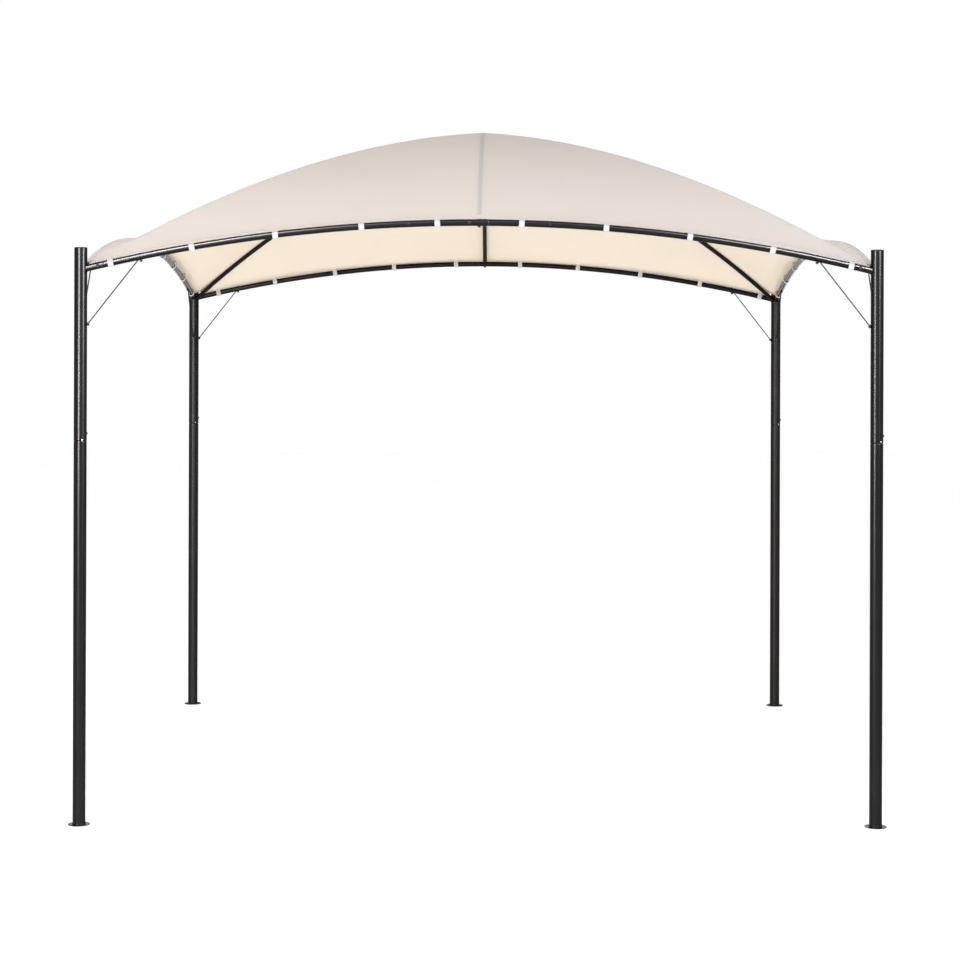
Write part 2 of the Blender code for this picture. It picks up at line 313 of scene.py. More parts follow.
def zinc_steel(name, dark, light, rough):
    """Plated steel with fine scratches along it."""
    nodes = NodeTree(name)
    colour = nodes.ramp(nodes.noise(300.0, 4.0), [(0.35, dark), (0.65, light)])
    roughness = nodes.spread(nodes.noise(500.0, 3.0), rough - 0.06, rough + 0.08)
    shader = nodes.add("ShaderNodeBsdfPrincipled", Base_Color=colour, Roughness=roughness,
                       Normal=nodes.bump(nodes.noise(2500.0, 2.0), 0.00002))
    shader.inputs["Metallic"].default_value = 0.9
    shader.inputs["Specular Tint"].default_value = (0.4, 0.4, 0.4, 1.0)
    return nodes.finish(shader)


def weave(nodes, pitch):
    """Height of a plain weave, the threads along X and Y."""
    place = nodes.place()
    waves = []
    for direction in ("X", "Y"):
        wave = nodes.add("ShaderNodeTexWave", {"bands_direction": direction})
        nodes.feed(wave, "Vector", place)
        nodes.feed(wave, "Scale", 1.0 / (3.1 * pitch))
        nodes.feed(wave, "Distortion", 0.4)
        waves.append(wave.outputs["Fac"])
    return nodes.math("MULTIPLY", waves[0], waves[1])


def canopy_fabric(name, shade, bright, through, through_share, painted_crown_shade=False):
    """Coated polyester: a fine weave, faint clouds of colour and light that shines through.

    The outer face can carry painted shade: its colour darkens toward the crown, where less light falls.
    """
    nodes = NodeTree(name)
    clouds = nodes.ramp(nodes.noise(1.6, 5.0, 0.6), [(0.3, shade), (0.7, bright)])
    colour = clouds
    if painted_crown_shade:
        # Painted shade: the colour is multiplied down by height, from the eaves up to the crown.
        height = nodes.add("ShaderNodeSeparateXYZ", Vector=nodes.place()).outputs["Z"]
        crown = nodes.add("ShaderNodeMapRange", Value=height, From_Min=2.25, From_Max=2.70)
        painted_shade = nodes.ramp(crown.outputs["Result"], [
            (0.0, (1.0, 1.0, 1.0)),
            (0.3, (0.965, 0.965, 0.965)),
            (1.0, (0.82, 0.82, 0.82)),
        ])
        colour = nodes.multiply(clouds, painted_shade)
    threads = nodes.bump(weave(nodes, 0.0011), 0.0001, 0.5)
    slack = nodes.bump(nodes.noise(14.0, 3.0), 0.0016, 0.25, threads)
    roughness = nodes.spread(nodes.noise(250.0, 3.0), 0.72, 0.86)
    front = nodes.add("ShaderNodeBsdfPrincipled", Base_Color=colour, Roughness=roughness,
                      Normal=slack)
    front.inputs["Specular IOR Level"].default_value = 0.25
    behind = nodes.add("ShaderNodeBsdfTranslucent", Normal=slack)
    behind.inputs["Color"].default_value = (*through, 1.0)
    mixed = nodes.add("ShaderNodeMixShader")
    mixed.inputs[0].default_value = through_share
    nodes.feed(mixed, "1", front.outputs[0])
    nodes.feed(mixed, "2", behind.outputs[0])
    return nodes.finish(mixed)


def webbing():
    """White strap tape with ribs across it."""
    nodes = NodeTree("white_webbing")
    colour = nodes.ramp(nodes.noise(120.0, 4.0), [
        (0.3, (0.44, 0.435, 0.438)),
        (0.7, (0.49, 0.485, 0.488)),
    ])
    ribs = nodes.bump(weave(nodes, 0.0014), 0.0002, 0.7)
    roughness = nodes.spread(nodes.noise(300.0), 0.7, 0.85)
    shader = nodes.add("ShaderNodeBsdfPrincipled", Base_Color=colour, Roughness=roughness,
                       Normal=ribs)
    shader.inputs["Specular IOR Level"].default_value = 0.1
    return nodes.finish(shader)


def sewing_thread():
    nodes = NodeTree("sewing_thread")
    colour = nodes.ramp(nodes.noise(400.0, 2.0), [
        (0.3, (0.56, 0.52, 0.47)),
        (0.7, (0.66, 0.62, 0.57)),
    ])
    twist = nodes.bump(nodes.noise(3000.0, 1.0), 0.0001)
    roughness = nodes.spread(nodes.noise(600.0), 0.55, 0.7)
    return nodes.finish(nodes.add("ShaderNodeBsdfPrincipled", Base_Color=colour,
                                  Roughness=roughness, Normal=twist))


def floor_paint():
    nodes = NodeTree("pale_floor")
    colour = nodes.ramp(nodes.noise(0.8, 2.0), [
        (0.3, (0.985, 0.985, 0.985)),
        (0.7, (0.995, 0.995, 0.995)),
    ])
    roughness = nodes.spread(nodes.noise(3.0), 0.75, 0.85)
    return nodes.finish(nodes.add("ShaderNodeBsdfPrincipled", Base_Color=colour,
                                  Roughness=roughness))


class Shape:
    """Vertices and faces gathered into one mesh."""

    def __init__(self):
        self.vertices = []
        self.faces = []
        self.slots = []

    def add(self, vertices, faces, matrix=None, slots=None):
        start = len(self.vertices)
        self.slots += slots or [0] * len(faces)
        for vertex in vertices:
            self.vertices.append(matrix @ Vector(vertex) if matrix else Vector(vertex))
        for face in faces:
            self.faces.append(tuple(start + index for index in face))

    def piece(self, name, material, slot_name, crease=35.0, second=None):
        mesh = bpy.data.meshes.new(name)
        mesh.from_pydata(self.vertices, [], self.faces)
        mesh.materials.append(material)
        if second:
            mesh.materials.append(second)
        mesh.polygons.foreach_set("material_index", self.slots)
        mesh.shade_smooth()
        mesh.set_sharp_from_angle(angle=math.radians(crease))
        piece = bpy.data.objects.new(name, mesh)
        bpy.context.scene.collection.objects.link(piece)
        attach(piece, "root")
        return piece


def beam_axis_height(along):
    return BEAM_CROWN_HEIGHT - beam_drop * along ** 2


def tube_top(axis_height, slope, radius):
    return axis_height + radius * np.sqrt(1 + slope ** 2) + FABRIC_LIFT


def roof_bend(reach, end_axis):
    return (APEX_HEIGHT - APEX_SLOPE * reach - end_axis) / reach ** 2


rib_bend = roof_bend(HALF_SPAN, BEAM_CROWN_HEIGHT + RIB_END_RISE)
hip_bend = roof_bend(diagonal, HIP_POST_HEIGHT)


def roof_axis_height(reach, bend):
    return APEX_HEIGHT - APEX_SLOPE * reach - bend * reach ** 2


def fabric_over(reach, bend):
    slope = APEX_SLOPE + 2 * bend * reach
    return tube_top(roof_axis_height(reach, bend), slope, ROOF_TUBE_RADIUS)


def fabric_over_beam(along):
    return tube_top(beam_axis_height(along), 2 * beam_drop * along, BEAM_RADIUS)


def straight_to_hip(outward, sideways):
    over_rib = fabric_over(outward, rib_bend)
    over_hip = fabric_over(outward * math.sqrt(2), hip_bend)
    return over_rib + (over_hip - over_rib) * sideways


def canopy_underside(x, y):
    """Height of the fabric's underside, for arrays of places in the plan."""
    outward = np.maximum(np.abs(x), np.abs(y))
    sideways = np.minimum(np.abs(x), np.abs(y)) / np.maximum(outward, 1e-9)
    held = np.minimum(outward, HALF_SPAN)
    arch_lift = fabric_over_beam(sideways * HALF_SPAN) - straight_to_hip(HALF_SPAN, sideways)
    height = straight_to_hip(held, sideways) + arch_lift * (held / HALF_SPAN) ** EDGE_GRIP
    overhang = outward - held
    over_side_beam = np.abs(x) >= np.abs(y)
    return (height - overhang ** 2 / (2 * BEAM_RADIUS)
            + fabric_relief(outward, sideways, over_side_beam))


def near_corners(sideways, place, spread):
    """A smooth hump along a beam that has died away at the corner itself."""
    from_corner = np.clip((1 - sideways) / 0.15, 0.0, 1.0)
    fade = from_corner ** 2 * (3 - 2 * from_corner)
    return np.exp(-((sideways - place) / spread) ** 2) * fade


def fabric_relief(outward, sideways, over_side_beam):
    """Sag between the tubes, and the slack fabric along the beams near the corners."""
    out_share = np.clip(outward / HALF_SPAN, 0.0, 1.0)
    sag = -SAG_BETWEEN_TUBES * np.sin(np.pi * sideways) * out_share * (1 - out_share ** 8)
    inside = np.maximum(HALF_SPAN - outward, 0.0) / ROLL_REACH
    roll = (ROLL_HEIGHT * inside * np.exp((1 - inside ** 2) / 2)
            * near_corners(sideways, 0.64, 0.27))
    lift = SIDE_LIFT * out_share ** EDGE_GRIP * near_corners(sideways, 0.66, 0.25)
    return sag + roll + lift * over_side_beam


def canopy_lines():
    inner = np.linspace(0.0, NOTCH_INNER_EDGE, 73)
    outer = np.array([1.448, 1.4565, 1.4655, FABRIC_EDGE])
    positive = np.concatenate([inner, outer])
    return np.concatenate([-positive[:0:-1], positive])


def crease_along_hips(mesh):
    """Mark the edges over the hip rafters sharp, where the cloth is pulled over a thin tube."""
    places = np.zeros(len(mesh.vertices) * 3)
    mesh.vertices.foreach_get("co", places)
    x, y = places.reshape(-1, 3)[:, :2].T
    over_hip = (np.abs(np.abs(x) - np.abs(y)) < 1e-5) & (np.abs(x) > 0.3)
    ends = np.zeros(len(mesh.edges) * 2, int)
    mesh.edges.foreach_get("vertices", ends)
    both = over_hip[ends.reshape(-1, 2)].all(axis=1)
    attribute = mesh.attributes.get("sharp_edge") or mesh.attributes.new("sharp_edge", "BOOLEAN", "EDGE")
    sharp = np.zeros(len(mesh.edges), bool)
    attribute.data.foreach_get("value", sharp)
    attribute.data.foreach_set("value", sharp | both)


def make_canopy(outside, inside):
    """The roof as one sheet: an outer and an inner face of one grid, closed along its edge."""
    lines = canopy_lines()
    count = len(lines)
    x, y = np.meshgrid(lines, lines, indexing="ij")
    under = canopy_underside(x, y)
    kept = (np.abs(x) < NOTCH_INNER_EDGE + 1e-6) | (np.abs(y) < NOTCH_INNER_EDGE + 1e-6)
    numbers = -np.ones(kept.shape, int)
    numbers[kept] = np.arange(kept.sum())
    total = int(kept.sum())
    vertices = [(px, py, pz + FABRIC_THICKNESS)
                for px, py, pz in zip(x[kept], y[kept], under[kept])]
    vertices += list(zip(x[kept], y[kept], under[kept]))
    upper = []
    for i in range(count - 1):
        for j in range(count - 1):
            square = [numbers[i, j], numbers[i + 1, j], numbers[i + 1, j + 1], numbers[i, j + 1]]
            if min(square) < 0:
                continue
            along_hip = (lines[i] + lines[i + 1]) * (lines[j] + lines[j + 1]) > 0
            first = 0 if along_hip else 1
            a, b, c, d = square[first:] + square[:first]
            upper += [(a, b, c), (a, c, d)]
    lower = [(c + total, b + total, a + total) for a, b, c in upper]
    edges = {}
    for a, b, c in upper:
        for edge in ((a, b), (b, c), (c, a)):
            edges[edge] = True
    rim = [(b, a, a + total, b + total) for a, b in edges if (b, a) not in edges]
    mesh = bpy.data.meshes.new("canopy_fabric")
    mesh.from_pydata(vertices, [], upper + lower + rim)
    mesh.materials.append(outside)
    mesh.materials.append(inside)
    slots = np.zeros(len(upper) + len(lower) + len(rim), np.int32)
    slots[len(upper):len(upper) + len(lower)] = 1
    mesh.polygons.foreach_set("material_index", slots)
    mesh.shade_smooth()
    mesh.set_sharp_from_angle(angle=math.radians(50))
    crease_along_hips(mesh)
    canopy = bpy.data.objects.new("canopy_fabric", mesh)
    bpy.context.scene.collection.objects.link(canopy)
    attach(canopy, "root")
    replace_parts(canopy, "canopy")
    return canopy


def ring_tube(path, radii, across, sides, closed=True):
    """A round tube along a path that lies in one plane, across being that plane's normal."""
    across = Vector(across)
    count = len(path)
    vertices = []
    for index, point in enumerate(path):
        ahead = path[min(index + 1, count - 1)] - path[max(index - 1, 0)]
        rise = across.cross(ahead.normalized())
        for k in range(sides):
            angle = 2 * math.pi * k / sides
            offset = across * math.cos(angle) + rise * math.sin(angle)
            vertices.append(point + offset * radii[index])
    faces = []
    for ring in range(count - 1):
        for k in range(sides):
            a = ring * sides + k
            b = ring * sides + (k + 1) % sides
            faces.append((a, b, b + sides, a + sides))
    if closed:
        last = (count - 1) * sides
        faces.append(tuple(reversed(range(sides))))
        faces.append(tuple(range(last, last + sides)))
    return vertices, faces


def soft_ended(path, radius):
    """A tube's path with a small rounded lip at both ends, and the radius at each point."""
    lip = 0.0007
    first = (path[1] - path[0]).normalized()
    final = (path[-1] - path[-2]).normalized()
    points = [path[0], path[0] + first * lip * 0.3, path[0] + first * lip,
              path[0] + first * lip * 3, *path[1:-1], path[-1] - final * lip * 3,
              path[-1] - final * lip, path[-1] - final * lip * 0.3, path[-1]]
    radii = [radius] * len(points)
    for place, share in ((0, 1.0), (1, 0.3), (-2, 0.3), (-1, 1.0)):
        radii[place] = radius - lip * share
    return points, radii


def bead(points, centre, thickness, sides=8):
    """A closed round bead along a loop of points, rippled like a weld."""
    count = len(points)
    vertices = []
    for index, point in enumerate(points):
        ahead = (points[(index + 1) % count] - points[index - 1]).normalized()
        out = point - centre
        out = (out - ahead * out.dot(ahead)).normalized()
        other = ahead.cross(out)
        ripple = thickness * (1 + 0.12 * math.sin(index * math.pi / 2))
        for k in range(sides):
            angle = 2 * math.pi * k / sides
            vertices.append(point + (out * math.cos(angle) + other * math.sin(angle)) * ripple)
    faces = []
    for ring in range(count):
        after = (ring + 1) % count
        for k in range(sides):
            k_next = (k + 1) % sides
            faces.append((ring * sides + k, ring * sides + k_next,
                          after * sides + k_next, after * sides + k))
    return vertices, faces


def turned_solid(profile, sides):
    """A solid turned about Z from (radius, height) pairs, its first and last radius being 0."""
    vertices = [Vector((0.0, 0.0, profile[0][1]))]
    for radius, height in profile[1:-1]:
        for k in range(sides):
            angle = 2 * math.pi * k / sides
            vertices.append(Vector((radius * math.cos(angle), radius * math.sin(angle), height)))
    vertices.append(Vector((0.0, 0.0, profile[-1][1])))
    rings = len(profile) - 2
    top = len(vertices) - 1
    faces = []
    for k in range(sides):
        k_next = (k + 1) % sides
        faces.append((0, 1 + k_next, 1 + k))
        for ring in range(rings - 1):
            a = 1 + ring * sides
            b = a + sides
            faces.append((a + k, a + k_next, b + k_next, b + k))
        last = 1 + (rings - 1) * sides
        faces.append((last + k, last + k_next, top))
    return vertices, faces


def aimed(origin, direction):
    """A matrix that puts a turned solid at the origin given, its Z along the direction."""
    return (Matrix.Translation(origin)
            @ Vector(direction).to_track_quat("Z", "Y").to_matrix().to_4x4())


def add_pan_head(shape, origin, direction, radius=0.0048, height=0.0032):
    profile = [
        (0.0, -0.002), (radius * 0.8, -0.002), (radius, 0.0), (radius * 0.98, height * 0.35),
        (radius * 0.84, height * 0.75), (radius * 0.6, height * 0.96), (radius * 0.46, height),
        (radius * 0.42, height * 0.55), (0.0, height * 0.5),
    ]
    shape.add(*turned_solid(profile, 20), aimed(origin, direction))


def add_hex(shape, origin, direction, radius=0.0062, height=0.0048):
    """A hexagon nut with chamfered corners and the end of its bolt standing out of it."""
    nut = [
        (0.0, 0.0), (radius * 0.93, 0.0), (radius, height * 0.1), (radius, height * 0.86),
        (radius * 0.9, height), (0.0, height),
    ]
    thread = radius * 0.5
    bolt = [
        (0.0, 0.0), (thread, 0.0), (thread, height * 1.3), (thread * 0.8, height * 1.42),
        (0.0, height * 1.42),
    ]
    place = aimed(origin, direction)
    shape.add(*turned_solid(nut, 6), place)
    shape.add(*turned_solid(bolt, 14), place)


def add_washer(shape, origin, direction, radius=0.0068, height=0.0011):
    profile = [
        (0.0, 0.0), (radius * 0.96, 0.0), (radius, height * 0.25), (radius, height * 0.75),
        (radius * 0.96, height), (0.0, height),
    ]
    shape.add(*turned_solid(profile, 24), aimed(origin, direction))


def corner_centre(corner):
    x_sign, y_sign = CORNERS[corner]
    return Vector((x_sign * HALF_SPAN, y_sign * HALF_SPAN, 0.0))


def stub_runs(corner):
    """Name, direction toward the gazebo's middle, radius, reach and axis height of each stub."""
    x_sign, y_sign = CORNERS[corner]
    half = math.sqrt(0.5)
    return (
        ("x", Vector((-x_sign, 0.0, 0.0)), BEAM_RADIUS, BEAM_STUB_REACH,
         lambda place: beam_axis_height(HALF_SPAN - place)),
        ("y", Vector((0.0, -y_sign, 0.0)), BEAM_RADIUS, BEAM_STUB_REACH,
         lambda place: beam_axis_height(HALF_SPAN - place)),
        ("hip", Vector((-x_sign * half, -y_sign * half, 0.0)), ROOF_TUBE_RADIUS, HIP_STUB_REACH,
         lambda place: roof_axis_height(diagonal - place, hip_bend)),
    )


def make_post(corner, materials):
    """Lower and upper tube, the plug on top, and the three welded stubs of one post."""
    centre = corner_centre(corner)
    place = Matrix.Translation(centre)
    lower_bottom = PLATE_THICKNESS + TOUCHING_GAP
    split = POST_SPLIT_HEIGHT
    lower = Shape()
    lower.add(*turned_solid([
        (0.0, lower_bottom), (POST_RADIUS, lower_bottom), (POST_RADIUS, split - 0.0050),
        (POST_RADIUS, split - 0.0022),
        (POST_RADIUS - 0.0004, split - 0.0010), (POST_RADIUS - 0.0013, split - 0.0004),
        (POST_RADIUS - 0.0022, split), (0.0, split),
    ], POST_SIDES), place)
    lower_post = lower.piece("lower_post_" + corner, materials["steel"], "steel", crease=60)
    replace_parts(lower_post, "post_lower_" + corner)

    upper_bottom = split + TOUCHING_GAP
    upper_top = POST_HEIGHT - CAP_THICKNESS - TOUCHING_GAP
    upper = Shape()
    upper.add(*turned_solid([
        (0.0, upper_bottom), (POST_RADIUS - 0.0006, upper_bottom),
        (POST_RADIUS, upper_bottom + 0.0006), (POST_RADIUS, upper_bottom + 0.0030),
        (POST_RADIUS, upper_top), (0.0, upper_top),
    ], POST_SIDES), place)
    for label, direction, radius, reach, height in stub_runs(corner):
        across = Vector((0.0, 0.0, 1.0)).cross(direction)
        places = [POST_RADIUS - 0.006 + (reach - POST_RADIUS + 0.006) * k / 6 for k in range(7)]
        path = [centre + direction * at + Vector((0.0, 0.0, height(at))) for at in places]
        points, radii = soft_ended(path, radius)
        upper.add(*ring_tube(points, radii, across, TUBE_SIDES))
        add_stub_weld(upper, centre, direction, across, radius, height)
    upper_post = upper.piece("upper_post_" + corner, materials["steel"], "steel", crease=60)
    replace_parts(upper_post, "post_upper_" + corner)

    cap = Shape()
    cap_bottom = POST_HEIGHT - CAP_THICKNESS
    cap.add(*turned_solid([
        (0.0, cap_bottom), (POST_RADIUS - 0.0003, cap_bottom), (POST_RADIUS, cap_bottom + 0.0004),
        (POST_RADIUS, POST_HEIGHT - 0.0020), (POST_RADIUS - 0.0006, POST_HEIGHT - 0.0009),
        (POST_RADIUS - 0.0018, POST_HEIGHT - 0.0002), (POST_RADIUS - 0.0034, POST_HEIGHT),
        (POST_RADIUS - 0.0050, POST_HEIGHT - 0.0001), (POST_RADIUS - 0.0062, POST_HEIGHT - 0.0007),
        (0.006, POST_HEIGHT - 0.0007), (0.0, POST_HEIGHT - 0.0007),
    ], POST_SIDES), place)
    post_cap = cap.piece("cap_" + corner, materials["cap"], "cap", crease=60)
    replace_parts(post_cap, "post_cap_" + corner)


def add_stub_weld(shape, centre, direction, across, radius, height):
    """The fillet where a stub's tube meets the post's round face."""
    loop = []
    count = 40
    for k in range(count):
        angle = 2 * math.pi * k / count
        sideways = (radius + 0.0006) * math.cos(angle)
        reach = math.sqrt(POST_RADIUS ** 2 - sideways ** 2) + 0.0003
        rise = (radius + 0.0006) * math.sin(angle)
        loop.append(centre + direction * reach + across * sideways
                    + Vector((0.0, 0.0, height(reach) + rise)))
    middle = sum(loop, Vector()) / count
    shape.add(*bead(loop, middle, 0.0017))


def make_foot_welds(material):
    shape = Shape()
    for corner in CORNERS:
        centre = corner_centre(corner)
        count = 64
        level = PLATE_THICKNESS + 0.0012
        reach = POST_RADIUS + 0.0004
        loop = [centre + Vector((reach * math.cos(2 * math.pi * k / count),
                                 reach * math.sin(2 * math.pi * k / count), level))
                for k in range(count)]
        shape.add(*bead(loop, centre + Vector((0.0, 0.0, level)), 0.0017))
    shape.piece("foot_welds", material, "steel", crease=60)


def make_beam(side, turn, material):
    """The two halves of an arched beam, meeting in a sleeve joint beside the middle."""
    rotation = Matrix.Rotation(turn, 4, "Z")
    end = HALF_SPAN - BEAM_STUB_REACH - TOUCHING_GAP
    seam = BEAM_SEAM_OFFSET
    for label, start, stop in (("near_half", -end, seam), ("far_half", seam + TOUCHING_GAP, end)):
        steps = 48
        places = [start + (stop - start) * k / steps for k in range(steps + 1)]
        path = [Vector((at, -HALF_SPAN, beam_axis_height(at))) for at in places]
        points, radii = soft_ended(path, BEAM_RADIUS)
        shape = Shape()
        shape.add(*ring_tube(points, radii, (0.0, -1.0, 0.0), TUBE_SIDES), rotation)
        piece = shape.piece(f"{side}_tube_{label}", material, "steel", crease=60)
        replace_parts(piece, f"{side}_beam_{label}")


def make_roof_tubes(material):
    """Ribs and hip rafters."""
    half = math.sqrt(0.5)
    start = HUB_STUB_REACH + TOUCHING_GAP
    rib_end = HALF_SPAN - BEAM_RADIUS - 2 * TOUCHING_GAP
    hip_end = diagonal - HIP_STUB_REACH - TOUCHING_GAP
    runs = []
    for side, turn in SIDE_TURNS.items():
        direction = Matrix.Rotation(turn, 3, "Z") @ Vector((0.0, -1.0, 0.0))
        runs.append((f"{side}_roof_rib", f"{side}_rib", direction, rib_end, rib_bend))
    for corner, (x_sign, y_sign) in CORNERS.items():
        direction = Vector((x_sign * half, y_sign * half, 0.0))
        runs.append((f"rafter_{corner}", f"hip_rafter_{corner}", direction, hip_end, hip_bend))
    for name, node, direction, stop, bend in runs:
        steps = 40
        places = [start + (stop - start) * k / steps for k in range(steps + 1)]
        path = [direction * at + Vector((0.0, 0.0, roof_axis_height(at, bend))) for at in places]
        points, radii = soft_ended(path, ROOF_TUBE_RADIUS)
        shape = Shape()
        across = direction.cross(Vector((0.0, 0.0, 1.0)))
        shape.add(*ring_tube(points, radii, across, TUBE_SIDES))
        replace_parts(shape.piece(name, material, "steel", crease=60), node)


def make_hub_details(materials):
    """Weld beads round the hub's stubs and a screw in each."""
    welds = Shape()
    screws = Shape()
    for index in range(8):
        angle = index * math.pi / 4
        bend = rib_bend if index % 2 == 0 else hip_bend
        direction = Vector((math.cos(angle), math.sin(angle), 0.0))
        across = Vector((0.0, 0.0, 1.0)).cross(direction)
        count = 28
        reach = HUB_RADIUS * math.cos(math.pi / 16) + 0.0006
        centre = direction * reach + Vector((0.0, 0.0, roof_axis_height(reach, bend)))
        ring = ROOF_TUBE_RADIUS + 0.0004
        loop = [centre + across * ring * math.cos(2 * math.pi * k / count)
                + Vector((0.0, 0.0, ring * math.sin(2 * math.pi * k / count)))
                for k in range(count)]
        welds.add(*bead(loop, centre, 0.0013))
        at = HUB_STUB_REACH - 0.016
        under = (direction * at
                 + Vector((0.0, 0.0, roof_axis_height(at, bend) - ROOF_TUBE_RADIUS + 0.0004)))
        add_pan_head(screws, under, (0.0, 0.0, -1.0), 0.0042, 0.0026)
    welds.piece("hub_welds", materials["steel"], "steel", crease=60)
    screws.piece("hub_screws", materials["bolt"], "steel", crease=30)


def make_side_hardware(side, turn, materials):
    """Bolts and screws along one beam and at its two post joints."""
    dark = Shape()
    black = Shape()
    rotation = Matrix.Rotation(turn, 4, "Z")

    def on_beam(along, direction, sink=0.0004):
        """A place on the beam's surface, direction being outward, inward, up or down."""
        slope = -2 * beam_drop * along
        up = Vector((-slope, 0.0, 1.0)).normalized()
        ways = {"outward": Vector((0.0, -1.0, 0.0)), "inward": Vector((0.0, 1.0, 0.0)),
                "up": up, "down": -up}
        way = ways[direction]
        axis = Vector((along, -HALF_SPAN, beam_axis_height(along)))
        return rotation @ (axis + way * (BEAM_RADIUS - sink)), rotation.to_3x3() @ way

    for sign in (-1, 1):
        joint = sign * (HALF_SPAN - 0.064)
        spot, way = on_beam(joint, "outward", 0.0014)
        add_washer(black, spot, way, 0.0064, 0.0040)
        add_pan_head(dark, spot + way * 0.0038, way, 0.0029, 0.0016)
        spot, way = on_beam(joint, "inward", 0.0008)
        add_washer(dark, spot, way)
        add_hex(dark, spot + way * 0.0011, way)
        spot, way = on_beam(sign * STAY_BEAM_PLACE, "up", 0.0006)
        add_pan_head(dark, spot, way, 0.0046, 0.0016)
        spot, way = on_beam(sign * 0.262, "outward")
        add_pan_head(black, spot, way, 0.0044, 0.0018)
    spot, way = on_beam(-0.037, "outward", 0.0008)
    add_pan_head(black, spot, way, 0.0054, 0.003)
    spot, way = on_beam(-0.037, "inward", 0.0008)
    add_washer(dark, spot, way, 0.006)
    add_hex(dark, spot + way * 0.0011, way, 0.0054, 0.0042)
    spot, way = on_beam(0.0, "down")
    add_washer(dark, spot, way, 0.006)
    add_hex(dark, spot + way * 0.001, way, 0.0054, 0.0038)
    dark.piece(f"{side}_bolts", materials["dark_bolt"], "steel", crease=30)
    black.piece(f"{side}_black_fittings", materials["cap"], "cap", crease=30)


def eye_ring(centre, normal, radius, thickness):
    """A closed ring of wire round a bolt."""
    frame_matrix = aimed(centre, normal)
    count = 24
    loop = [frame_matrix @ Vector((radius * math.cos(2 * math.pi * k / count),
                                   radius * math.sin(2 * math.pi * k / count), 0.0))
            for k in range(count)]
    return bead(loop, Vector(centre), thickness)


def make_stays(side, turn, materials):
    """The two stay wires under a beam, with an eye round a bolt at each end."""
    rotation = Matrix.Rotation(turn, 4, "Z")
    slope = 2 * beam_drop * STAY_BEAM_PLACE
    underside = (beam_axis_height(STAY_BEAM_PLACE) - BEAM_RADIUS * math.sqrt(1 + slope ** 2)
                 - TOUCHING_GAP)
    post_face = HALF_SPAN - POST_RADIUS - TOUCHING_GAP
    outward = Vector((0.0, -1.0, 0.0))
    for label, sign in (("near", -1), ("far", 1)):
        shape = Shape()
        top_end = Vector((sign * (STAY_BEAM_PLACE + 0.0115), -HALF_SPAN, underside - 0.0012))
        low_eye = Vector((sign * (post_face - 0.0019), -HALF_SPAN, STAY_POST_HEIGHT))
        run = (low_eye - top_end).normalized()
        upper_bolt = Vector((sign * STAY_BEAM_PLACE, -HALF_SPAN, underside))
        lower_bolt = Vector((sign * post_face, -HALF_SPAN, STAY_POST_HEIGHT))
        down = Vector((0.0, 0.0, -1.0))
        inward = Vector((-sign, 0.0, 0.0))
        add_washer(shape, upper_bolt, down, 0.0066)
        add_hex(shape, upper_bolt + down * 0.0011, down, 0.0058, 0.0048)
        add_washer(shape, lower_bolt + inward * 0.0034, inward, 0.0072)
        add_hex(shape, lower_bolt + inward * 0.0043, inward, 0.0062, 0.0027)
        shape.add(*turned_solid([(0.0, 0.0), (0.0031, 0.0), (0.0031, 0.0045), (0.0, 0.0045)], 14),
                  aimed(lower_bolt, inward))
        shape.add(*eye_ring(top_end, down, 0.0032, 0.0012))
        shape.add(*eye_ring(low_eye, inward, 0.0052, 0.0016))
        ends = [top_end - run * 0.004, low_eye - run * 0.0062]
        path = [ends[0].lerp(ends[1], k / 8) for k in range(9)]
        shape.add(*ring_tube(path, [WIRE_RADIUS] * 9, outward, 14))
        shape.vertices = [rotation @ vertex for vertex in shape.vertices]
        piece = shape.piece(f"{side}_wire_{label}", materials["wire"], "wire", crease=30)
        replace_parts(piece, f"{side}_stay_{label}")


def make_joint_screws(materials):
    """A bright screw and a dark bolt just above the joint of each post, all facing one way."""
    bright = Shape()
    dark = Shape()
    screw_turn = math.radians(30)
    screw_way = Vector((math.sin(screw_turn), -math.cos(screw_turn), 0.0))
    bolt_way = Vector((1.0, 0.0, 0.0))
    for corner in CORNERS:
        centre = corner_centre(corner)
        for shape, way, height, radius in ((bright, screw_way, 0.0045, 0.0034),
                                           (dark, bolt_way, 0.028, 0.0052)):
            spot = centre + way * (POST_RADIUS - 0.0008)
            spot.z = POST_SPLIT_HEIGHT + height
            add_pan_head(shape, spot, way, radius, radius * 0.75)
    bright.piece("post_screws", materials["bolt"], "steel", crease=30)
    dark.piece("post_bolts", materials["dark_bolt"], "steel", crease=30)


def ribbon(path, normals, across, width, thickness):
    """A flat band with rounded edges: thickness along the normals, width along across."""
    outline = [(-0.5, -0.22), (-0.475, -0.5), (0.0, -0.5), (0.475, -0.5), (0.5, -0.22),
               (0.5, 0.22), (0.475, 0.5), (0.0, 0.5), (-0.475, 0.5), (-0.5, 0.22)]
    sides = len(outline)
    vertices = []
    for point, normal in zip(path, normals):
        for side, over in outline:
            vertices.append(point + across * (side * width) + normal * (over * thickness))
    faces = []
    for ring in range(len(path) - 1):
        for k in range(sides):
            a = ring * sides + k
            b = ring * sides + (k + 1) % sides
            faces.append((a, b, b + sides, a + sides))
    last = (len(path) - 1) * sides
    faces += [tuple(reversed(range(sides))), tuple(range(last, last + sides))]
    return vertices, faces


def smooth_path(points, steps):
    """A Catmull-Rom curve through the points."""
    points = [Vector(point) for point in points]
    ends = [2 * points[0] - points[1], *points, 2 * points[-1] - points[-2]]
    path = []
    for k in range(1, len(ends) - 2):
        before, start, stop, after = ends[k - 1:k + 3]
        for step in range(steps):
            t = step / steps
            path.append(0.5 * (2 * start + (stop - before) * t
                               + (2 * before - 5 * start + 4 * stop - after) * t ** 2
                               + (3 * start - before - 3 * stop + after) * t ** 3))
    path.append(points[-1])
    return path


